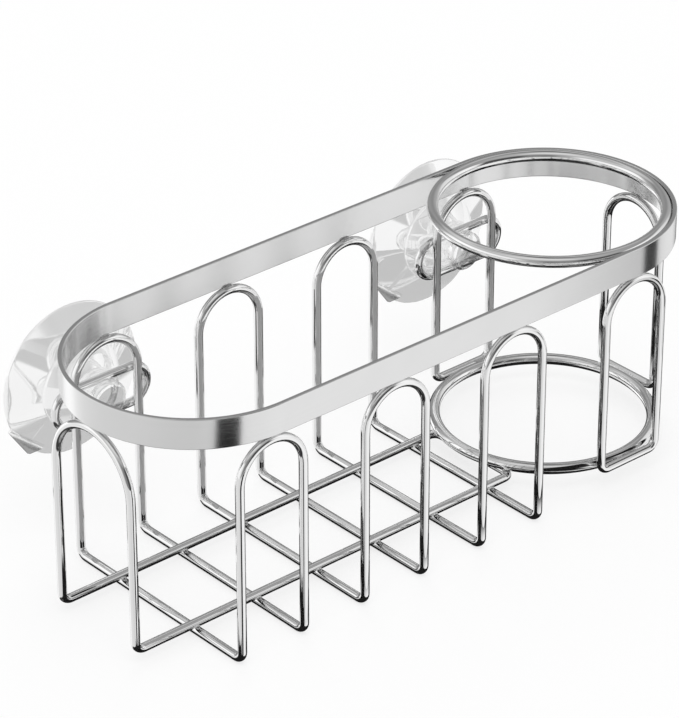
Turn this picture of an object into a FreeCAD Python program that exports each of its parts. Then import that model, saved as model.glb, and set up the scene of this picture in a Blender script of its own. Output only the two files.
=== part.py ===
import os

import FreeCAD, Part
from FreeCAD import Vector
from math import sin, tan, sqrt

# Wire sponge and brush holder that hangs on two suction cups.
# Millimetres, +Z up, +X along the rim towards the brush ring, +Y towards the wall.
# The origin is on the surface below the holder, at the middle of its length and depth.

# Rim strip
rim_length = 240.0
rim_width = 86.0
rim_height = 10.6
rim_thickness = 1.5
rim_edge_radius = 0.3
top_height = 89.5            # from the surface below to the rim's upper edge

# Wires
wire_diameter = 3.0
ring_wire_diameter = 4.0
bend_radius = 3.2            # centre line of the tight bends
weld_gap = 0.05              # between welded pieces

# Cross hoops: one closed wire each, with a front arch, a back arch and two bottom runs
hoop_count = 3
first_hoop_lead = 3.9        # from the start of the straight sides to the first hoop's middle
last_hoop_spacing = 55.1     # from the last hoop's middle to the brush rings' axis
arch_span = 25.7             # between the centre lines of two legs

# Long frame: end arch, two long runs and a closing run below the lower ring
end_arch_span = 37.8
closing_run_inset = 4.7      # from the lower ring's left edge, centre lines

# Rings
upper_ring_rise = 0.6        # above the rim's upper edge

# Hanger loops, welded behind the back arches
hanger_length = 40.4
hanger_height = 16.4
hanger_drop = 34.3           # from the rim's upper edge to the loop's middle

# Suction cups
cup_reach = 18.5             # from the rim's back face to the wall
cup_clearance = 0.3          # around the cup where it is held in the loop
head_radius = 7.0
head_length = 3.0
head_round = 1.2
shoulder_radius = 8.6
shoulder_length = 1.6
boss_radius = 15.5
boss_crown = 1.0             # bulge of the boss's side
boss_step = 0.7
lip_radius = 27.0
lip_width = 2.0
lip_thickness = 0.9
skirt_rise = 5.4             # from the lip's edge to the boss, along Y
hollow_depth = 6.5
hollow_radius = 9.0
tab_width = 11.0
tab_length = 0.8             # beyond the lip
tab_thickness = 2.0
tab_lift = 0.3               # between the tab and the wall
tab_angle = -147.0           # degrees from +X towards +Z

# Places worked out from the sizes above
wire_radius = wire_diameter / 2
ring_wire_radius = ring_wire_diameter / 2
rim_end_radius = rim_width / 2
rim_y = -cup_reach / 2
wall_y = rim_y + rim_end_radius + cup_reach
rim_bottom = top_height - rim_height
ring_x = rim_length / 2 - rim_end_radius
leg_offset = rim_end_radius - wire_radius
front_y = rim_y - leg_offset
back_y = rim_y + leg_offset
end_x = rim_length / 2 - wire_radius
arch_top = rim_bottom - weld_gap - wire_radius
cross_run_z = wire_radius
long_run_z = cross_run_z + wire_diameter + weld_gap
lower_ring_z = long_run_z + wire_radius + ring_wire_radius + weld_gap
lower_ring_radius = leg_offset - wire_radius - ring_wire_radius - weld_gap
upper_ring_z = top_height + upper_ring_rise - ring_wire_radius
upper_ring_radius = rim_end_radius - rim_thickness - ring_wire_radius - weld_gap
first_hoop_x = -ring_x - first_hoop_lead
hoop_pitch = (ring_x - last_hoop_spacing - first_hoop_x) / (hoop_count - 1)
hoop_xs = [first_hoop_x + i * hoop_pitch for i in range(hoop_count)]
hanger_y = back_y + wire_diameter + weld_gap
hanger_z = top_height - hanger_drop
cup_xs = {"left": hoop_xs[0], "right": ring_x}


def rounded_loop(corners):
    # Closed path of straight runs and tangent arcs; each corner is (point, bend radius)
    count = len(corners)
    stations = []
    for i, (point, radius) in enumerate(corners):
        back = (corners[i - 1][0] - point).normalize()
        ahead = (corners[(i + 1) % count][0] - point).normalize()
        half = back.getAngle(ahead) / 2
        reach = radius / tan(half)
        middle = point + (back + ahead).normalize() * (radius / sin(half) - radius)
        stations.append((point + back * reach, middle, point + ahead * reach))
    edges = []
    for i, (start, middle, end) in enumerate(stations):
        edges.append(Part.Arc(start, middle, end).toShape())
        following = stations[(i + 1) % count][0]
        if end.distanceToPoint(following) > 1e-6:
            edges.append(Part.LineSegment(end, following).toShape())
    return Part.Wire(edges)


def swept(corners, section_at):
    # Section carried around the closed path, which it stands square to at its start
    path = rounded_loop(corners)
    first = path.OrderedEdges[0]
    start = first.valueAt(first.FirstParameter)
    section = section_at(start, first.tangentAt(first.FirstParameter))
    solid = path.makePipeShell([section], True, False)
    expected = Part.Face(section).Area * path.Length
    print("path %.1f mm, volume over section by length %.4f" % (path.Length, solid.Volume / expected))
    return solid


def bent_wire(corners):
    def section(start, direction):
        return Part.Wire(Part.makeCircle(wire_radius, start, direction))

    return swept(corners, section)


def rim_band():
    radius = rim_end_radius - rim_thickness / 2
    straight = rim_length / 2 - rim_end_radius
    level = rim_bottom + rim_height / 2
    corners = []
    for x, y in ((-1, -1), (1, -1), (1, 1), (-1, 1)):
        corners.append((Vector(x * (straight + radius), rim_y + y * radius, level), radius))

    def section(start, direction):
        across = Vector(0, 0, 1).cross(direction) * (rim_thickness / 2)
        rise = Vector(0, 0, rim_height / 2)
        outline = []
        for u, v in ((-1, -1), (1, -1), (1, 1), (-1, 1)):
            outline.append((start + across * u + rise * v, rim_edge_radius))
        return rounded_loop(outline)

    return swept(corners, section)


def ring(radius, height):
    centre = Vector(ring_x, rim_y, height)
    return Part.makeTorus(radius, ring_wire_radius, centre, Vector(0, 0, 1))


def cross_hoop(x):
    half = arch_span / 2
    corners = []
    for y, side in ((front_y, 1), (back_y, -1)):
        corners.append((Vector(x - side * half, y, cross_run_z), bend_radius))
        corners.append((Vector(x - side * half, y, arch_top), half))
        corners.append((Vector(x + side * half, y, arch_top), half))
        corners.append((Vector(x + side * half, y, cross_run_z), bend_radius))
    return bent_wire(corners)


def long_frame():
    half = end_arch_span / 2
    closing_x = ring_x - lower_ring_radius + closing_run_inset
    corners = [
        (Vector(-end_x, rim_y - half, arch_top), half),
        (Vector(-end_x, rim_y + half, arch_top), half),
        (Vector(-end_x, rim_y + half, long_run_z), bend_radius),
        (Vector(closing_x, rim_y + half, long_run_z), bend_radius),
        (Vector(closing_x, rim_y - half, long_run_z), bend_radius),
        (Vector(-end_x, rim_y - half, long_run_z), bend_radius),
    ]
    return bent_wire(corners)


def brush_loop(middle, along):
    # Upright closed loop beside the brush rings; middle is on its bottom run
    half = along * (arch_span / 2)
    rise = Vector(0, 0, arch_top - lower_ring_z)
    corners = [
        (middle - half, bend_radius),
        (middle - half + rise, arch_span / 2),
        (middle + half + rise, arch_span / 2),
        (middle + half, bend_radius),
    ]
    return bent_wire(corners)


def hanger_loop(x):
    long_half = hanger_length / 2 - wire_radius
    short_half = hanger_height / 2 - wire_radius
    corners = []
    for u, v in ((-1, -1), (1, -1), (1, 1), (-1, 1)):
        corners.append((Vector(x + u * long_half, hanger_y, hanger_z + v * short_half), short_half))
    return bent_wire(corners)


def suction_cup(x):
    neck_radius = hanger_height / 2 - wire_diameter - cup_clearance
    neck_front = hanger_y - wire_radius - cup_clearance
    neck_back = hanger_y + wire_radius + cup_clearance
    head_front = neck_front - head_length
    boss_y = wall_y - lip_thickness - skirt_rise
    hollow_y = wall_y - hollow_depth
    slant = head_round * (1 - sqrt(0.5))

    def at(radius, y):
        return Vector(x + radius, y, hanger_z)

    def straight(points):
        return [Part.LineSegment(a, b) for a, b in zip(points, points[1:])]

    head_corner = at(head_radius - head_round, head_front)
    head_side = at(head_radius, head_front + head_round)
    shoulder_end = at(shoulder_radius, neck_back + shoulder_length)
    boss_edge = at(boss_radius, boss_y - boss_step)
    chord = boss_edge - shoulder_end
    crown = (shoulder_end + boss_edge) / 2 + Vector(chord.y, -chord.x, 0).normalize() * boss_crown

    outline = straight([at(0, hollow_y), at(0, head_front), head_corner])
    outline.append(Part.Arc(head_corner, at(head_radius - slant, head_front + slant), head_side))
    outline += straight([
        head_side,
        at(head_radius, neck_front),
        at(neck_radius, neck_front),
        at(neck_radius, neck_back),
        at(shoulder_radius, neck_back),
        shoulder_end,
    ])
    outline.append(Part.Arc(shoulder_end, crown, boss_edge))
    outline += straight([
        boss_edge,
        at(boss_radius, boss_y),
        at(lip_radius, wall_y - lip_thickness),
        at(lip_radius, wall_y),
        at(lip_radius - lip_width, wall_y),
        at(hollow_radius, hollow_y),
        at(0, hollow_y),
    ])
    face = Part.Face(Part.Wire([s.toShape() for s in outline]))
    axis = Vector(0, 1, 0)
    centre = Vector(x, 0, hanger_z)
    cup = face.revolve(centre, axis, 360)

    tab_root = lip_radius - lip_width
    tab_y = wall_y - tab_lift - tab_thickness
    tab = Part.makeBox(tab_length + lip_width, tab_thickness, tab_width, at(tab_root, tab_y))
    tab.translate(Vector(0, 0, -tab_width / 2))
    tab.rotate(centre, axis, -tab_angle)
    return cup.fuse(tab).removeSplitter()


os.makedirs("parts", exist_ok=True)

nodes = {
    "rim_band": rim_band(),
    "upper_brush_ring": ring(upper_ring_radius, upper_ring_z),
    "lower_brush_ring": ring(lower_ring_radius, lower_ring_z),
    "long_frame": long_frame(),
    "front_brush_loop": brush_loop(Vector(ring_x, front_y, lower_ring_z), Vector(1, 0, 0)),
    "back_brush_loop": brush_loop(Vector(ring_x, back_y, lower_ring_z), Vector(1, 0, 0)),
    "end_brush_loop": brush_loop(Vector(end_x, rim_y, lower_ring_z), Vector(0, 1, 0)),
}
for i, hoop_x in enumerate(hoop_xs):
    nodes["cross_hoop_%d" % (i + 1)] = cross_hoop(hoop_x)
for side, cup_x in cup_xs.items():
    nodes["hanger_loop_" + side] = hanger_loop(cup_x)
    nodes["suction_cup_" + side] = suction_cup(cup_x)

for name, shape in nodes.items():
    print("%-20s valid %s, volume %.1f mm3" % (name, shape.isValid(), shape.Volume))
    shape.exportStep("parts/%s.step" % name)
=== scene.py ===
from math import atan2, ceil, cos, hypot, pi, radians, sin, tan

import bmesh
import bpy
from mathutils import Matrix, Vector, noise


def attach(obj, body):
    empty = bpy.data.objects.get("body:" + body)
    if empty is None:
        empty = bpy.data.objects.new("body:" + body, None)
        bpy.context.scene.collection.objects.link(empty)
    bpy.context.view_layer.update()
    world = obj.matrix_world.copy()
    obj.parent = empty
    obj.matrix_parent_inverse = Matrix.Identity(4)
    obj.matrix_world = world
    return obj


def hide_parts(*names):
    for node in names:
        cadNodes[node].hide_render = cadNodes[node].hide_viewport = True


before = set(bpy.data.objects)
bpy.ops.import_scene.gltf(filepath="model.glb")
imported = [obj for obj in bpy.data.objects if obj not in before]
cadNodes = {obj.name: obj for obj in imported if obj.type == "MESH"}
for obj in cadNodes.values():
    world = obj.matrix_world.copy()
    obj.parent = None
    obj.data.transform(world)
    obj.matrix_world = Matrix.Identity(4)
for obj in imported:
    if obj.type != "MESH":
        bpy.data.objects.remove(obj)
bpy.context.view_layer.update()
scene = bpy.context.scene
scene.view_settings.view_transform = "Standard"
print("frame loaded:", len(cadNodes), "nodes")

# the caddy's sizes are in millimetres and become metres when a piece is built
mm = 0.001
mergeGap = 1e-6  # points closer than this, in metres, are one


def spot(x, y, z):
    return Vector((x, y, z)) * mm


def meshObject(name, bm):
    mesh = bpy.data.meshes.new(name)
    bm.to_mesh(mesh)
    bm.free()
    obj = bpy.data.objects.new(name, mesh)
    scene.collection.objects.link(obj)
    return obj


def dress(obj, mat):
    obj.data.materials.clear()
    obj.data.materials.append(mat)


def addNode(tree, kind, **values):
    node = tree.nodes.new(kind)
    for key, value in values.items():
        if key in node.inputs:
            node.inputs[key].default_value = value
        else:
            setattr(node, key, value)
    return node


def freshMaterial(name):
    mat = bpy.data.materials.new(name)
    mat.use_nodes = True
    tree = mat.node_tree
    return mat, tree, tree.nodes["Principled BSDF"]


def dullPaint(surface, s):
    surface.inputs["Base Color"].default_value = (s["tone"], s["tone"], s["tone"], 1)
    surface.inputs["Roughness"].default_value = s["roughness"]
    surface.inputs["Specular IOR Level"].default_value = 0


def spread(tree, source, low, high, fromLow=0.0, fromHigh=1.0, kind="LINEAR"):
    node = addNode(tree, "ShaderNodeMapRange", interpolation_type=kind)
    for key, value in (("From Min", fromLow), ("From Max", fromHigh), ("To Min", low), ("To Max", high)):
        node.inputs[key].default_value = value
    tree.links.new(source, node.inputs["Value"])
    return node.outputs[0]


def rise(tree, source, start, end):
    return spread(tree, source, 0, 1, start, end, "SMOOTHSTEP")


def ramp(tree, source, stops):
    node = addNode(tree, "ShaderNodeValToRGB")
    band = node.color_ramp
    band.interpolation = "EASE"
    while len(band.elements) < len(stops):
        band.elements.new(0.5)
    for element, (place, level) in zip(band.elements, stops):
        element.position = place
        element.color = (level, level, level, 1)
    tree.links.new(source, node.inputs[0])
    return node.outputs[0]


def blendColour(tree, factor, first, second):
    node = addNode(tree, "ShaderNodeMix", data_type="RGBA")
    tree.links.new(factor, node.inputs[0])
    for slot, value in ((6, first), (7, second)):
        if isinstance(value, (int, float)):
            node.inputs[slot].default_value = (value, value, value, 1)
        else:
            tree.links.new(value, node.inputs[slot])
    return node.outputs[2]


def mixShaders(tree, share, first, second):
    mix = addNode(tree, "ShaderNodeMixShader")
    for slot, source in enumerate((share, first, second)):
        tree.links.new(source, mix.inputs[slot])
    tree.links.new(mix.outputs[0], tree.nodes["Material Output"].inputs["Surface"])


# camera at the photograph's place, in metres and degrees
photoCamera = {
    "place": (-0.69676, -0.78859, 0.64759),
    "aim": (-0.00252, 0.00730, 0.05182),
    "roll": -0.058,
    "lens": 182.74,
    "reach": 20,
}


def placeCamera(s):
    data = bpy.data.cameras.new("photoCamera")
    data.lens = s["lens"]
    data.clip_end = s["reach"]
    cam = bpy.data.objects.new("photoCamera", data)
    scene.collection.objects.link(cam)
    look = (Vector(s["aim"]) - Vector(s["place"])).to_track_quat("-Z", "Y")
    cam.matrix_world = (
        Matrix.Translation(s["place"])
        @ look.to_matrix().to_4x4()
        @ Matrix.Rotation(radians(s["roll"]), 4, "Z")
    )
    scene.camera = cam


placeCamera(photoCamera)

# white studio; what the steel mirrors is five rings, from below: ground, band, horizon, ceiling, zenith
studio = {
    "backdrop": 1.0,
    "plainLight": 0.75,
    "through": 0.95,  # seen through the clear vinyl
    # brightness by the turn round the caddy: 0 behind it, 0.25 at its left, 0.5 in front, 0.75 at its right
    "band": [
        (0.00, 1.20), (0.02, 1.30), (0.04, 1.25), (0.065, 1.02), (0.10, 0.90), (0.14, 0.85), (0.22, 0.82),
        (0.38, 0.74), (0.43, 0.80), (0.49, 0.94), (0.52, 0.97), (0.60, 1.02), (0.635, 0.98), (0.67, 0.88),
        (0.70, 0.88), (0.74, 0.95), (0.79, 0.94), (0.815, 0.70), (0.84, 0.20), (0.86, 0.06), (0.95, 0.06),
        (0.975, 0.85), (1.00, 1.20),
    ],
    "horizon": [
        (0.00, 0.25), (0.05, 0.40), (0.10, 1.05), (0.13, 1.15), (0.27, 0.95), (0.34, 0.40), (0.38, 0.22),
        (0.43, 0.26), (0.475, 0.08), (0.57, 0.08), (0.605, 0.90), (0.63, 1.05), (0.75, 0.80), (0.80, 0.42),
        (0.885, 0.28), (0.96, 0.32), (1.00, 0.25),
    ],
    # the ceiling is multiplied by this
    "overhead": [
        (0.00, 1.30), (0.25, 1.20), (0.50, 0.85), (0.75, 0.66), (0.79, 0.72), (0.83, 1.10), (0.87, 1.20),
        (1.00, 1.30),
    ],
    "zenith": [
        (0.00, 0.50), (0.12, 0.50), (0.27, 0.75), (0.46, 0.75), (0.56, 0.45), (0.75, 0.35), (0.86, 0.17),
        (0.93, 0.17), (0.97, 0.40), (1.00, 0.50),
    ],
    # brightness by the sine of the height, and for the ground by the sine of the depth
    "ceiling": [(0.48, 0.42), (0.56, 0.26), (0.64, 0.42), (0.74, 0.52), (0.80, 0.52)],
    "ground": [(0.70, 0.04), (0.92, 0.05), (0.97, 0.38), (1.00, 0.45)],
    # sines of the heights between which one ring gives way to the next
    "heights": ((-0.79, -0.72), (-0.06, -0.02), (0.48, 0.64), (0.79, 0.85)),
}


def turnAround(tree, split):
    flip = addNode(tree, "ShaderNodeMath", operation="MULTIPLY")
    flip.inputs[1].default_value = -1
    tree.links.new(split.outputs["Y"], flip.inputs[0])
    angle = addNode(tree, "ShaderNodeMath", operation="ARCTAN2")
    tree.links.new(split.outputs["X"], angle.inputs[0])
    tree.links.new(flip.outputs[0], angle.inputs[1])
    return spread(tree, angle.outputs[0], 0, 1, -pi, pi)


def buildStudio(s):
    world = bpy.data.worlds.new("whiteStudio")
    scene.world = world
    world.use_nodes = True
    tree = world.node_tree
    tree.nodes.clear()
    link = tree.links.new
    direction = addNode(tree, "ShaderNodeTexCoord")
    split = addNode(tree, "ShaderNodeSeparateXYZ")
    link(direction.outputs["Generated"], split.inputs[0])
    turn = turnAround(tree, split)
    height = split.outputs["Z"]
    depth = spread(tree, height, 1, 0, -1, 0)
    above = addNode(tree, "ShaderNodeMix", data_type="RGBA", blend_type="MULTIPLY")
    above.inputs[0].default_value = 1
    link(ramp(tree, height, s["ceiling"]), above.inputs[6])
    link(ramp(tree, turn, s["overhead"]), above.inputs[7])
    band = ramp(tree, turn, s["band"])
    horizon = ramp(tree, turn, s["horizon"])
    zenith = ramp(tree, turn, s["zenith"])
    mirrored = ramp(tree, depth, s["ground"])
    for span, ring in zip(s["heights"], (band, horizon, above.outputs[2], zenith)):
        mirrored = blendColour(tree, rise(tree, height, *span), mirrored, ring)
    path = addNode(tree, "ShaderNodeLightPath")
    colour = blendColour(tree, path.outputs["Is Glossy Ray"], s["plainLight"], mirrored)
    colour = blendColour(tree, path.outputs["Is Transmission Ray"], colour, s["through"])
    colour = blendColour(tree, path.outputs["Is Camera Ray"], colour, s["backdrop"])
    back = addNode(tree, "ShaderNodeBackground", Strength=1.0)
    out = addNode(tree, "ShaderNodeOutputWorld")
    link(colour, back.inputs["Color"])
    link(back.outputs[0], out.inputs[0])


buildStudio(studio)

# floor, its size in metres; the camera sees it with some glow, and steel and vinyl don't mirror it
paleFloor = {"size": 6.0, "tone": 0.9, "roughness": 0.9, "glow": 0.75}


def layFloor(s):
    bm = bmesh.new()
    bmesh.ops.create_grid(bm, x_segments=1, y_segments=1, size=s["size"] / 2)
    floor = meshObject("floor", bm)
    floor.visible_glossy = False
    floor.visible_transmission = False
    mat, tree, surface = freshMaterial("paleFloor")
    dullPaint(surface, s)
    path = addNode(tree, "ShaderNodeLightPath")
    share = spread(tree, path.outputs["Is Camera Ray"], 0, s["glow"])
    glow = addNode(tree, "ShaderNodeEmission", Color=(1, 1, 1, 1), Strength=1.0)
    mixShaders(tree, share, surface.outputs[0], glow.outputs[0])
    dress(floor, mat)


layFloor(paleFloor)

# lamps, in metres and watts
softboxes = {
    "overhead": {"place": (-0.5, -0.6, 1.6), "size": 1.2, "power": 10},
    "behind": {"place": (0.7, 1.0, 1.2), "size": 1.0, "power": 5},
}
softboxAim = Vector((0, 0, 0.05))


def hangSoftbox(name, s):
    data = bpy.data.lights.new(name, "AREA")
    data.shape = "SQUARE"
    data.size = s["size"]
    data.energy = s["power"]
    lamp = bpy.data.objects.new(name, data)
    place = Vector(s["place"])
    lamp.location = place
    lamp.rotation_euler = (softboxAim - place).to_track_quat("-Z", "Y").to_euler()
    lamp.visible_glossy = False
    lamp.visible_transmission = False
    scene.collection.objects.link(lamp)


for name, settings in softboxes.items():
    hangSoftbox(name, settings)

# cards that only the steel mirrors, as dark streaks: left and right edge as (x, y) at the foot and the head,
# heights of foot and head, distances from the steel over which they come in (near) and go out again (far),
# and how dense they are at the left and the right edge
plainFlag = {"near": (0, 1), "share": (1, 1), "tone": 0.02, "roughness": 1.0}
darkFlags = {
    # standing
    "leftFlag": {
        "foot": ((-144, -95), (-108, -95)), "head": ((-117, -95), (-92, -95)), "heights": (-70, 66),
        "far": (115, 130),
    },
    "rightFlag": {
        "foot": ((133.5, -94), (151, -72)), "heights": (30, 64), "far": (115, 130), "share": (0.97, 0.97),
    },
    "paleFlag": {
        "foot": ((103, -127), (134.5, -93)), "heights": (10, 64), "far": (115, 130), "share": (0, 0.35),
    },
    "frontFlag": {
        "foot": ((-45, -56), (130, -56)), "heights": (0, 58), "near": (9, 12), "far": (24, 32),
    },
    "endFlag": {
        "foot": ((-117.5, 4.5), (-103, 4.5)), "head": ((-114, 4.5), (-103, 4.5)), "heights": (8, 60),
        "far": (15, 17),
    },
    # lying under the floor, each at its own height because cards in one plane hide one another
    "footFlag": {
        "foot": ((-150, -80), (130, -80)), "head": ((-150, 0), (130, 0)), "heights": (-30, -30),
        "far": (88, 104),
    },
    "sideFlag": {
        "foot": ((56, -55), (250, -55)), "head": ((56, 60), (250, 60)), "heights": (-1.8, -1.8),
        "near": (30, 50), "far": (150, 163),
    },
    "ringFlag": {
        "foot": ((50, -25), (125, -25)), "head": ((50, 40), (125, 40)), "heights": (-1.2, -1.2),
        "far": (11, 17),
    },
    # painted shade: a dark sheet standing in for the shade on the ground under the caddy, seen only in the
    # steel
    "groundShadeFlag": {
        "foot": ((-100, -60), (56, -72)), "head": ((-100, 12), (56, 12)), "heights": (-1.5, -1.5),
        "near": (9, 26), "far": (150, 170),
    },
    "backFlag": {
        "foot": ((-140, 28), (130, 28)), "head": ((-140, 90), (130, 90)), "heights": (-1.7, -1.7),
        "near": (85, 95), "far": (150, 163),
    },
    "innerFlag": {
        "foot": ((25, -60), (90, -60)), "head": ((25, 80), (90, 80)), "heights": (-1.9, -1.9),
        "near": (157, 165), "far": (196, 204), "share": (0.47, 0.47),
    },
    # painted shade: a dark sheet standing in for the contact shadow under the low wires, seen only in the
    # steel
    "contactShadeFlag": {
        "foot": ((-121, -54), (124, -54)), "head": ((-121, 36), (124, 36)), "heights": (-1.3, -1.3),
        "far": (7, 12),
    },
}
# grey cards standing close in front of the back legs
legFlag = {
    "spans": ((-99, -89), (-73, -62), (-48, 42), (59, 69), (85, 96)), "y": 28, "heights": (5, 70),
    "near": (0, 0.5), "far": (7.5, 8.5), "tone": 0.5,
}
for i, span in enumerate(legFlag["spans"], 1):
    darkFlags["legFlag%d" % i] = {**legFlag, "foot": tuple((x, legFlag["y"]) for x in span)}


def flagShape(s):
    bm = bmesh.new()
    shade = bm.verts.layers.float.new("flagShade")
    bmesh.ops.create_grid(bm, x_segments=1, y_segments=1, size=1)
    for vert in bm.verts:
        side = 1 if vert.co.x > 0 else 0
        level = 1 if vert.co.y > 0 else 0
        x, y = (s["foot"], s["head"])[level][side]
        vert.co = spot(x, y, s["heights"][level])
        vert[shade] = s["share"][side]
    return bm


def standFlag(name, settings):
    s = {**plainFlag, "head": settings["foot"], **settings}
    flag = meshObject(name, flagShape(s))
    flag.visible_camera = False
    flag.visible_diffuse = False
    flag.visible_shadow = False
    flag.visible_transmission = False
    mat, tree, surface = freshMaterial(name)
    dullPaint(surface, s)
    path = addNode(tree, "ShaderNodeLightPath")
    within = addNode(tree, "ShaderNodeMath", operation="SUBTRACT")
    for slot, (start, end) in enumerate((s["near"], s["far"])):
        tree.links.new(rise(tree, path.outputs["Ray Length"], start * mm, end * mm), within.inputs[slot])
    shade = addNode(tree, "ShaderNodeAttribute", attribute_name="flagShade")
    dark = addNode(tree, "ShaderNodeMath", operation="MULTIPLY")
    tree.links.new(within.outputs[0], dark.inputs[0])
    tree.links.new(shade.outputs["Fac"], dark.inputs[1])
    clear = addNode(tree, "ShaderNodeBsdfTransparent")
    mixShaders(tree, dark.outputs[0], clear.outputs[0], surface.outputs[0])
    dress(flag, mat)


for name, settings in darkFlags.items():
    standFlag(name, settings)
print("studio and camera set")

# finishes: tone and roughness as a low and a high value, patterns as (scale, detail), depth of relief in mm
# steel wire with fine drawing lines along it
wireSteel = {
    "tone": (0.84, 0.89), "roughness": (0.03, 0.08), "clouds": (70.0, 3.0),
    "lines": (14.0, 4.0), "stretch": 60.0, "relief": 0.004, "depth": 0.5,
}
# flat strip, polished along its length to a soft sheen
rimSteel = {
    "tone": (0.72, 0.77), "roughness": (0.15, 0.21), "clouds": (70.0, 3.0),
    "lines": (2600.0, 4.0), "stretch": 9.0, "relief": 0.02, "depth": 0.5,
}
# darker, grainy steel of the spot welds
weldSteel = {
    "tone": (0.50, 0.62), "roughness": (0.18, 0.34), "grain": (900.0, 4.0), "relief": 0.3, "depth": 0.3,
}
# clear soft vinyl; the folded pull tab gets painted shade, a much darker base colour
clearVinyl = {
    "tint": 0.97, "tabShadeTint": 0.30, "clear": 0.97, "bend": 1.03, "coatBend": 4.5,
    "roughness": (0.02, 0.06), "clouds": (120.0, 2.0), "relief": 0.03, "depth": 0.5,
}
noiseSpan = (0.3, 0.7)  # most of a noise texture's values lie between these


def noiseOf(tree, source, scale, detail):
    node = addNode(tree, "ShaderNodeTexNoise", Scale=scale, Detail=detail)
    tree.links.new(source, node.inputs["Vector"])
    return node.outputs["Fac"]


def engrave(tree, surface, height, s):
    bump = addNode(tree, "ShaderNodeBump", Strength=s["relief"], Distance=s["depth"] * mm)
    tree.links.new(height, bump.inputs["Height"])
    tree.links.new(bump.outputs[0], surface.inputs["Normal"])


def varySteel(tree, surface, pattern, s):
    surface.inputs["Metallic"].default_value = 1
    link = tree.links.new
    link(spread(tree, pattern, *s["roughness"], *noiseSpan), surface.inputs["Roughness"])
    tone = spread(tree, pattern, *s["tone"], *noiseSpan)
    paint = addNode(tree, "ShaderNodeCombineColor")
    for channel in range(3):
        link(tone, paint.inputs[channel])
    link(paint.outputs[0], surface.inputs["Base Color"])


def steelMaterial(name, s):
    mat, tree, surface = freshMaterial(name)
    link = tree.links.new
    coord = addNode(tree, "ShaderNodeTexCoord")
    clouds = noiseOf(tree, coord.outputs["Object"], *s["clouds"])
    # lines along the piece, by the place in its section and the way along it
    section = addNode(tree, "ShaderNodeAttribute", attribute_name="sectionPlace")
    scale, detail = s["lines"]
    stretch = addNode(tree, "ShaderNodeMapping", Scale=(scale, scale, s["stretch"]))
    link(section.outputs["Vector"], stretch.inputs["Vector"])
    lines = noiseOf(tree, stretch.outputs[0], 1.0, detail)
    both = addNode(tree, "ShaderNodeMix", Factor=0.5)
    link(clouds, both.inputs[2])
    link(lines, both.inputs[3])
    varySteel(tree, surface, both.outputs[0], s)
    engrave(tree, surface, lines, s)
    return mat


def weldMaterial(s):
    mat, tree, surface = freshMaterial("weldSteel")
    coord = addNode(tree, "ShaderNodeTexCoord")
    grain = noiseOf(tree, coord.outputs["Object"], *s["grain"])
    varySteel(tree, surface, grain, s)
    engrave(tree, surface, grain, s)
    return mat


def vinylMaterial(s):
    mat, tree, surface = freshMaterial("clearVinyl")
    link = tree.links.new
    surface.inputs["Transmission Weight"].default_value = s["clear"]
    surface.inputs["IOR"].default_value = s["bend"]
    surface.inputs["Coat IOR"].default_value = s["coatBend"]
    # only the outer skin has the gloss
    side = addNode(tree, "ShaderNodeNewGeometry")
    outer = addNode(tree, "ShaderNodeAttribute", attribute_name="outerSkin")
    skin = addNode(tree, "ShaderNodeMath", operation="MULTIPLY")
    link(spread(tree, side.outputs["Backfacing"], 1, 0), skin.inputs[0])
    link(outer.outputs["Fac"], skin.inputs[1])
    link(skin.outputs[0], surface.inputs["Coat Weight"])
    # painted shade: the folded pull tab's base colour is darkened
    tabShade = addNode(tree, "ShaderNodeAttribute", attribute_name="paintedTabShade")
    link(blendColour(tree, tabShade.outputs["Fac"], s["tint"], s["tabShadeTint"]), surface.inputs["Base Color"])
    coord = addNode(tree, "ShaderNodeTexCoord")
    clouds = noiseOf(tree, coord.outputs["Object"], *s["clouds"])
    link(spread(tree, clouds, *s["roughness"], *noiseSpan), surface.inputs["Roughness"])
    engrave(tree, surface, clouds, s)
    return mat


wireMat = steelMaterial("drawnWire", wireSteel)
rimMat = steelMaterial("polishedStrip", rimSteel)
weldMat = weldMaterial(weldSteel)
clearMat = vinylMaterial(clearVinyl)

for name, obj in cadNodes.items():
    if name.startswith("suction_cup"):
        dress(obj, clearMat)
    elif name == "rim_band":
        dress(obj, rimMat)
    else:
        dress(obj, wireMat)
print("materials set")


def finishPiece(name, bm, body, mat, node=None):
    bmesh.ops.recalc_face_normals(bm, faces=bm.faces)
    obj = meshObject(name, bm)
    obj.data.shade_smooth()
    dress(obj, mat)
    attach(obj, body)
    if node:
        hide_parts(node)
    return obj


def evenNormals(obj):
    # wide faces keep their own direction beside the rounded edges
    even = obj.modifiers.new("evenNormals", "WEIGHTED_NORMAL")
    even.mode = "FACE_AREA"
    even.weight = 100


def bendsOf(corners):
    # the bends of a closed path whose corners are given as (point, bend radius)
    count = len(corners)
    bends = []
    for i, (point, radius) in enumerate(corners):
        back = (corners[i - 1][0] - point).normalized()
        ahead = (corners[(i + 1) % count][0] - point).normalized()
        half = back.angle(ahead) / 2
        reach = radius / tan(half)
        bends.append({
            "start": point + back * reach,
            "end": point + ahead * reach,
            "centre": point + (back + ahead).normalized() * (radius / sin(half)),
            "axis": ahead.cross(back).normalized(),
            "angle": pi - 2 * half,
            "radius": radius,
            "way": -back,
        })
    return bends


def ringEdges(geom, verts=None):
    edges = [e for e in geom if isinstance(e, bmesh.types.BMEdge)]
    if verts is not None:
        edges = [e for e in edges if e.verts[0] in verts and e.verts[1] in verts]
    return edges


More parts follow.
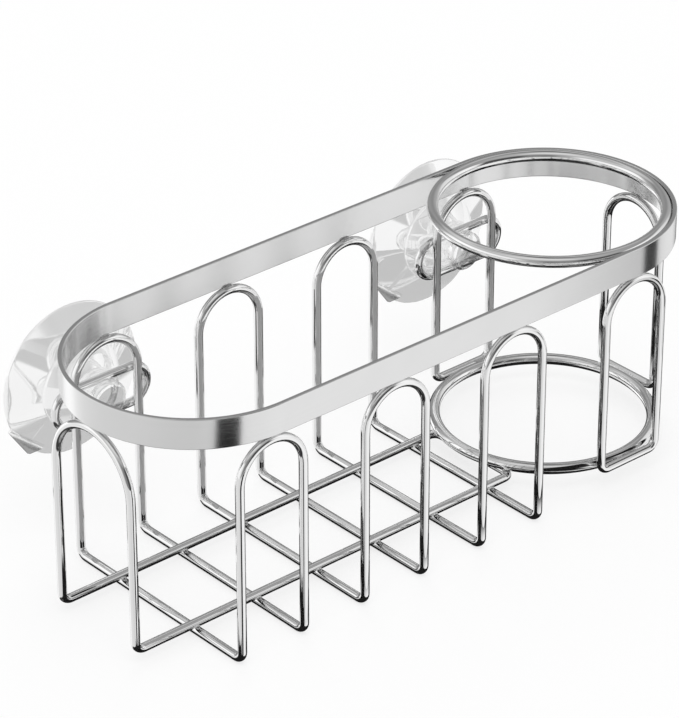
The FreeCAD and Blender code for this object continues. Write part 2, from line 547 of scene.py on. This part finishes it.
def sweep(bm, ring, bends, layer, s):
    # carries a ring of edges round the closed path and joins its end to its start
    travelled = 0.0

    def mark(edges):
        for edge in edges:
            for vert in edge.verts:
                vert[layer].z = travelled

    for i, bend in enumerate(bends):
        steps = ceil(bend["angle"] / radians(s["turnStep"]))
        for _ in range(steps):
            verts = list({v for e in ring for v in e.verts})
            turned = bmesh.ops.spin(
                bm, geom=verts + ring, cent=bend["centre"], axis=bend["axis"],
                angle=bend["angle"] / steps, steps=1,
            )
            ring = ringEdges(turned["geom_last"])
            travelled += bend["angle"] / steps * bend["radius"]
            mark(ring)
        run = bends[(i + 1) % len(bends)]["start"] - bend["end"]
        if run.length < mergeGap:
            continue
        steps = ceil(run.length / (s["runStep"] * mm))
        for _ in range(steps):
            pulled = bmesh.ops.extrude_edge_only(bm, edges=ring)
            fresh = {v for v in pulled["geom"] if isinstance(v, bmesh.types.BMVert)}
            bmesh.ops.translate(bm, verts=list(fresh), vec=run / steps)
            ring = ringEdges(pulled["geom"], fresh)
            travelled += run.length / steps
            mark(ring)
    bmesh.ops.remove_doubles(bm, verts=bm.verts, dist=mergeGap)
    return travelled


# sizes that the pieces share; a wire is given by its radius
caddy = {
    "length": 240, "width": 86, "middleY": -9.25, "topZ": 89.5, "rimHeight": 10.6, "rimThickness": 1.5,
    "wire": 1.5, "ringWire": 2.0, "bendRadius": 3.2, "archSpan": 25.7, "weldGap": 0.05,
}
wire = caddy["wire"]
ringWire = caddy["ringWire"]
bendRadius = caddy["bendRadius"]
weldGap = caddy["weldGap"]
middleY = caddy["middleY"]
halfWidth = caddy["width"] / 2
halfArch = caddy["archSpan"] / 2
ringX = caddy["length"] / 2 - halfWidth
endX = caddy["length"] / 2 - wire
frontY = middleY - halfWidth + wire
backY = middleY + halfWidth - wire
archZ = caddy["topZ"] - caddy["rimHeight"] - weldGap - wire
longRunZ = 3 * wire + weldGap
lowerRingZ = longRunZ + wire + weldGap + ringWire
fourCorners = ((-1, -1), (1, -1), (1, 1), (-1, 1))

# how finely wires are divided, in degrees and mm
wireLook = {"sides": 28, "turnStep": 7, "runStep": 8}


def wireSection(bm, layer, radius, sides):
    made = bmesh.ops.create_circle(bm, segments=sides, radius=radius)
    for vert in made["verts"]:
        vert[layer] = (vert.co.x / radius, vert.co.y / radius, 0)
    return made["verts"]


def bentWire(name, corners, node):
    bm = bmesh.new()
    layer = bm.verts.layers.float_vector.new("sectionPlace")
    section = wireSection(bm, layer, wire * mm, wireLook["sides"])
    bends = bendsOf(corners)
    facing = bends[0]["way"].to_track_quat("Z", "Y").to_matrix().to_4x4()
    bmesh.ops.transform(bm, matrix=Matrix.Translation(bends[0]["start"]) @ facing, verts=section)
    length = sweep(bm, bm.edges[:], bends, layer, wireLook)
    print("%s: %.1f mm of wire" % (name, length / mm))
    return finishPiece(name, bm, "caddy", wireMat, node)


# cross hoops: front arch, two bottom runs that are the feet, back arch
crossHoop = {"firstX": -80.9, "pitch": 51.4, "count": 3}
hoopMiddles = [crossHoop["firstX"] + i * crossHoop["pitch"] for i in range(crossHoop["count"])]


def crossHoopCorners(x):
    corners = []
    for y, side in ((frontY, 1), (backY, -1)):
        corners.append((spot(x - side * halfArch, y, wire), bendRadius * mm))
        corners.append((spot(x - side * halfArch, y, archZ), halfArch * mm))
        corners.append((spot(x + side * halfArch, y, archZ), halfArch * mm))
        corners.append((spot(x + side * halfArch, y, wire), bendRadius * mm))
    return corners


for i, x in enumerate(hoopMiddles, 1):
    bentWire("crossHoop%d" % i, crossHoopCorners(x), "cross_hoop_%d" % i)

# long frame: end arch, two long runs on the cross hoops, closing run under the lower ring
longFrame = {"span": 37.8, "closingX": 43.75}
longRuns = (middleY - longFrame["span"] / 2, middleY + longFrame["span"] / 2)


def longFrameCorners(s):
    near, far = longRuns
    half = s["span"] / 2
    return [
        (spot(-endX, near, archZ), half * mm),
        (spot(-endX, far, archZ), half * mm),
        (spot(-endX, far, longRunZ), bendRadius * mm),
        (spot(s["closingX"], far, longRunZ), bendRadius * mm),
        (spot(s["closingX"], near, longRunZ), bendRadius * mm),
        (spot(-endX, near, longRunZ), bendRadius * mm),
    ]


bentWire("longFrame", longFrameCorners(longFrame), "long_frame")

# upright loops round the two rings: middle of the loop and the way to the rings' axis
brushLoop = {
    "front": ((ringX, frontY), (0, 1)),
    "back": ((ringX, backY), (0, -1)),
    "end": ((endX, middleY), (-1, 0)),
}


def brushLoopCorners(middle, inward):
    alongX, alongY = abs(inward[1]) * halfArch, abs(inward[0]) * halfArch
    corners = []
    for side, z, radius in (
        (-1, lowerRingZ, bendRadius), (-1, archZ, halfArch),
        (1, archZ, halfArch), (1, lowerRingZ, bendRadius),
    ):
        corners.append((spot(middle[0] + side * alongX, middle[1] + side * alongY, z), radius * mm))
    return corners


for side, (middle, inward) in brushLoop.items():
    bentWire(side + "BrushLoop", brushLoopCorners(middle, inward), side + "_brush_loop")

# hanger loops behind the back arches
hangerLoop = {"length": 40.4, "height": 16.4, "z": 55.2}
hangerY = backY + 2 * wire + weldGap
hangerMiddles = {"left": crossHoop["firstX"], "right": ringX}


def hangerCorners(s, x):
    long = s["length"] / 2 - wire
    short = s["height"] / 2 - wire
    return [(spot(x + u * long, hangerY, s["z"] + v * short), short * mm) for u, v in fourCorners]


for side, x in hangerMiddles.items():
    bentWire(side + "HangerLoop", hangerCorners(hangerLoop, x), "hanger_loop_" + side)

# rings of thicker wire at the right end; the upper one stands a little above the rim
brushRing = {"upperRise": 0.6, "sides": 32, "steps": 150}
ringPlaces = {
    "upper": (
        halfWidth - caddy["rimThickness"] - weldGap - ringWire,
        caddy["topZ"] + brushRing["upperRise"] - ringWire,
    ),
    "lower": (halfWidth - 2 * wire - weldGap - ringWire, lowerRingZ),
}


def brushRingPiece(name, s, radius, z, node):
    bm = bmesh.new()
    layer = bm.verts.layers.float_vector.new("sectionPlace")
    section = wireSection(bm, layer, ringWire * mm, s["sides"])
    upright = Matrix.Translation(spot(ringX + radius, middleY, z)) @ Matrix.Rotation(pi / 2, 4, "X")
    bmesh.ops.transform(bm, matrix=upright, verts=section)
    centre = spot(ringX, middleY, z)
    bmesh.ops.spin(
        bm, geom=bm.verts[:] + bm.edges[:], cent=centre, axis=(0, 0, 1),
        angle=2 * pi, steps=s["steps"], use_merge=True,
    )
    for vert in bm.verts:
        vert[layer].z = (atan2(vert.co.y - centre.y, vert.co.x - centre.x) + pi) * radius * mm
    finishPiece(name, bm, "caddy", wireMat, node)


for level, (radius, z) in ringPlaces.items():
    brushRingPiece(level + "BrushRing", brushRing, radius, z, level + "_brush_ring")

# rim: flat strip with eased edges, closed to a long round-ended band; steps in degrees and mm
rimBand = {"edge": 0.3, "edgeSegments": 5, "turnStep": 1.5, "runStep": 20}


def rimPiece(s):
    thickness, height = caddy["rimThickness"], caddy["rimHeight"]
    radius = halfWidth - thickness / 2
    level = caddy["topZ"] - height / 2
    bends = bendsOf([
        (spot(u * (ringX + radius), middleY + v * radius, level), radius * mm) for u, v in fourCorners
    ])
    bm = bmesh.new()
    layer = bm.verts.layers.float_vector.new("sectionPlace")
    made = bmesh.ops.create_grid(bm, x_segments=1, y_segments=1, size=0.5)
    bmesh.ops.scale(bm, vec=(thickness * mm, height * mm, 1), verts=made["verts"])
    bmesh.ops.bevel(
        bm, geom=made["verts"], offset=s["edge"] * mm, offset_type="OFFSET", segments=s["edgeSegments"],
        profile=0.5, affect="VERTICES", material=-1,
    )
    bmesh.ops.delete(bm, geom=bm.faces[:], context="FACES_ONLY")
    for vert in bm.verts:
        vert[layer] = (vert.co.x, vert.co.y, 0)
    way = bends[0]["way"]
    up = Vector((0, 0, 1))
    facing = Matrix((way.cross(up), up, -way)).transposed().to_4x4()
    bmesh.ops.transform(bm, matrix=Matrix.Translation(bends[0]["start"]) @ facing, verts=bm.verts)
    sweep(bm, bm.edges[:], bends, layer, s)
    obj = finishPiece("rimBand", bm, "caddy", rimMat, "rim_band")
    evenNormals(obj)


rimPiece(rimBand)
print("wires and rim built")

# suction cups: the moulding's rings from head to hollow, as radius, place along Y and rounding of the edge
suctionCup = {
    "head": [(0.0, 30.35, 0), (5.2, 30.5, 0), (7.0, 30.5, 1.1), (7.0, 33.5, 0.35)],
    "neck": [(4.9, 33.5, 0.3), (4.9, 37.1, 0.4)],
    "shoulder": [(8.6, 37.1, 0.5), (8.6, 38.7, 0.3), (11.7, 41.0, 0), (14.2, 43.6, 0)],
    "boss": [(15.5, 45.25, 0.35), (15.5, 45.95, 0.5)],
    "skirtRadii": (21.0, 23.0, 24.2, 25.2, 26.0),
    "lip": [(27.0, 51.35, 0.3), (27.0, 52.25, 0.25), (25.0, 52.25, 0.3)],
    "hollow": [(9.0, 45.75, 1.5), (0.0, 45.75, 0)],
    "steps": 144, "edgeSegments": 4,
    "sameRing": 0.02,  # a point this near to a ring lies on it
    "innerSkin": 0.2,  # a point this near to the hollow's wall lies on it
}
# pull tab: the line it folds along and its free corner, as (x, y, z) from the cup's middle; turns in degrees
foldedTab = {
    "fold": ((-25.9, 51.0, -11.0), (-13.2, 50.0, -21.1)), "corner": (-19.7, 49.2, -20.6), "cornerRound": 0.5,
    "foldRadius": 1.3, "foldTurn": 44, "foldSteps": 8,
    "draws": (0.2, 1),  # shares of the way to the corner
    "thickness": 0.8, "edge": 0.15, "edgeSegments": 2, "sharpTurn": 40,
    "clearRoll": 0.25,  # the roll up to here stays as clear as the cup
    "flapGloss": 0.25,
}


def pullTab(bm, s, middle):
    # a thin sheet rolled out of the lip along the fold, drawn to its corner and thickened
    start, end = (spot(*(middle + Vector(p))) for p in s["fold"])
    corner = spot(*(middle + Vector(s["corner"])))
    along = (end - start).normalized()
    flat = along.cross(corner - start).normalized()
    if flat.y > 0:
        flat.negate()
    outward = flat.cross(along)
    turn = -radians(s["foldTurn"])
    if outward.dot(corner - start) < 0:
        outward.negate()
        turn = -turn
    tab = bmesh.new()
    first = bmesh.ops.create_vert(tab, co=start)["vert"]
    pulled = bmesh.ops.extrude_vert_indiv(tab, verts=first)
    bmesh.ops.translate(tab, verts=pulled["verts"], vec=end - start)
    foldEdge = pulled["edges"][0]
    bmesh.ops.spin(
        tab, geom=foldEdge.verts[:] + [foldEdge], cent=start + flat * (s["foldRadius"] * mm), axis=along,
        angle=turn, steps=s["foldSteps"],
    )
    for share in s["draws"]:
        drawn = bmesh.ops.extrude_edge_only(tab, edges=[foldEdge])
        ends = [v for v in drawn["geom"] if isinstance(v, bmesh.types.BMVert)]
        for vert in ends:
            tip = corner + (vert.co - corner).normalized() * (s["cornerRound"] * mm)
            vert.co = vert.co.lerp(tip, share)
        foldEdge = ringEdges(drawn["geom"], set(ends))[0]
    bmesh.ops.recalc_face_normals(tab, faces=tab.faces)
    bmesh.ops.solidify(tab, geom=tab.faces[:], thickness=-s["thickness"] * mm)
    sharp = [e for e in tab.edges if e.is_manifold and e.calc_face_angle() > radians(s["sharpTurn"])]
    bmesh.ops.bevel(
        tab, geom=sharp, offset=s["edge"] * mm, offset_type="OFFSET", segments=s["edgeSegments"],
        profile=0.5, affect="EDGES", clamp_overlap=True, material=-1,
    )
    sheet = bpy.data.meshes.new("pullTab")
    tab.to_mesh(sheet)
    tab.free()
    moulded = set(bm.verts)
    bm.from_mesh(sheet)
    bpy.data.meshes.remove(sheet)
    return {v for v in bm.verts if v not in moulded and outward.dot(v.co - start) > s["clearRoll"] * mm}


def cupOutline(s):
    # the skirt runs straight from the boss to the lip
    (inner, bossY, _), (outer, lipY, _) = s["boss"][-1], s["lip"][0]
    slope = (lipY - bossY) / (outer - inner)
    skirt = [(radius, bossY + (radius - inner) * slope, 0) for radius in s["skirtRadii"]]
    return s["head"] + s["neck"] + s["shoulder"] + s["boss"] + skirt + s["lip"] + s["hollow"]


def cupPiece(name, s, x, z, body, node):
    bm = bmesh.new()
    skin = bm.verts.layers.float.new("outerSkin")
    tabShade = bm.verts.layers.float.new("paintedTabShade")
    outline = cupOutline(s)
    places = [spot(x + radius, y, z) for radius, y, _ in outline]
    last = bmesh.ops.create_vert(bm, co=places[0])["vert"][0]
    for place in places[1:]:
        last = bmesh.ops.extrude_vert_indiv(bm, verts=[last])["verts"][0]
        last.co = place
    bmesh.ops.spin(
        bm, geom=bm.verts[:] + bm.edges[:], cent=spot(x, 0, z), axis=(0, 1, 0),
        angle=2 * pi, steps=s["steps"], use_merge=True,
    )
    bmesh.ops.remove_doubles(bm, verts=bm.verts, dist=mergeGap)

    def fromAxis(vert):
        return hypot(vert.co.x - x * mm, vert.co.z - z * mm) / mm

    def onRing(vert, radius, y):
        return abs(fromAxis(vert) - radius) < s["sameRing"] and abs(vert.co.y / mm - y) < s["sameRing"]

    for radius, y, rounding in outline:
        if rounding:
            rim = [e for e in bm.edges if all(onRing(v, radius, y) for v in e.verts)]
            bmesh.ops.bevel(
                bm, geom=rim, offset=rounding * mm, offset_type="OFFSET", segments=s["edgeSegments"],
                profile=0.5, affect="EDGES", clamp_overlap=True, material=-1,
            )
    flap = pullTab(bm, foldedTab, Vector((x, 0, z)))
    mouth, wallY, _ = s["lip"][-1]
    floor, floorY, _ = s["hollow"][0]
    slope = (wallY - floorY) / (mouth - floor)
    for vert in bm.verts:
        hollowY = wallY - max(mouth - max(fromAxis(vert), floor), 0) * slope
        vert[skin] = 0 if vert.co.y / mm > hollowY - s["innerSkin"] else 1
        # the flap is marked for painted shade in the vinyl's colour, and less gloss
        if vert in flap:
            vert[skin] = foldedTab["flapGloss"]
            vert[tabShade] = 1
    obj = finishPiece(name, bm, body, clearMat, node)
    evenNormals(obj)


for side, x in hangerMiddles.items():
    cupPiece(side + "SuctionCup", suctionCup, x, hangerLoop["z"], "cup_" + side, "suction_cup_" + side)
print("cups built")

# weld beads: half sizes along the wire, across it and upwards, and the inset from the wire's centre line
weldBead = {
    "subdivisions": 3, "ripple": 0.10, "grain": 1.3,
    "arch": {"half": (2.2, 0.75, 0.55), "inset": 0.5, "z": 78.75},
    "crossing": {"half": (1.0, 1.0, 0.42), "z": 3.02},
    "lowerRing": {"half": (1.6, 0.5, 0.9), "inset": 1.52},
    "hanger": {"half": (0.9, 0.42, 0.9), "inset": 1.52},
    "closingRun": {"half": (1.1, 1.1, 0.45), "x": 44.2, "fromMiddle": 17.9, "z": 6.07},
    "upperRing": {"half": (0.8, 0.8, 0.7), "turns": (-60, 0, 60), "out": 1.7, "z": 86.6},
}


def weldPlaces(s):
    places = []

    def weld(kind, x, y, z, inward=(0, 1)):
        inset = s[kind].get("inset", 0)
        long, wide, tall = s[kind]["half"]
        half = (wide, long, tall) if inward[0] else (long, wide, tall)
        places.append(((x + inward[0] * inset, y + inward[1] * inset, z), half))

    archWeldZ = s["arch"]["z"]
    for x in hoopMiddles:
        weld("arch", x, frontY, archWeldZ, (0, 1))
        weld("arch", x, backY, archWeldZ, (0, -1))
        for leg in (-halfArch, halfArch):
            for y in longRuns:
                weld("crossing", x + leg, y, s["crossing"]["z"])
    weld("arch", -endX, middleY, archWeldZ, (1, 0))
    for (x, y), inward in brushLoop.values():
        weld("arch", x, y, archWeldZ, inward)
        weld("lowerRing", x, y, lowerRingZ, inward)
    for x in hangerMiddles.values():
        for leg in (-halfArch, halfArch):
            for side in (-1, 1):
                z = hangerLoop["z"] + side * (hangerLoop["height"] / 2 - wire)
                weld("hanger", x + leg, hangerY, z, (0, -1))
    closing = s["closingRun"]
    for side in (-1, 1):
        weld("closingRun", closing["x"], middleY + side * closing["fromMiddle"], closing["z"])
    upper = s["upperRing"]
    out = ringPlaces["upper"][0] + upper["out"]
    for turn in upper["turns"]:
        weld("upperRing", ringX + out * cos(radians(turn)), middleY + out * sin(radians(turn)), upper["z"])
    return places


def weldBeads(s):
    bm = bmesh.new()
    places = weldPlaces(s)
    for place, half in places:
        made = bmesh.ops.create_icosphere(bm, subdivisions=s["subdivisions"], radius=1)
        for vert in made["verts"]:
            vert.co *= 1 + s["ripple"] * noise.noise(vert.co * s["grain"] + Vector(place))
        bmesh.ops.scale(bm, vec=Vector(half) * mm, verts=made["verts"])
        bmesh.ops.translate(bm, vec=spot(*place), verts=made["verts"])
    finishPiece("weldBeads", bm, "caddy", weldMat)
    print("weld beads built:", len(places))


weldBeads(weldBead)
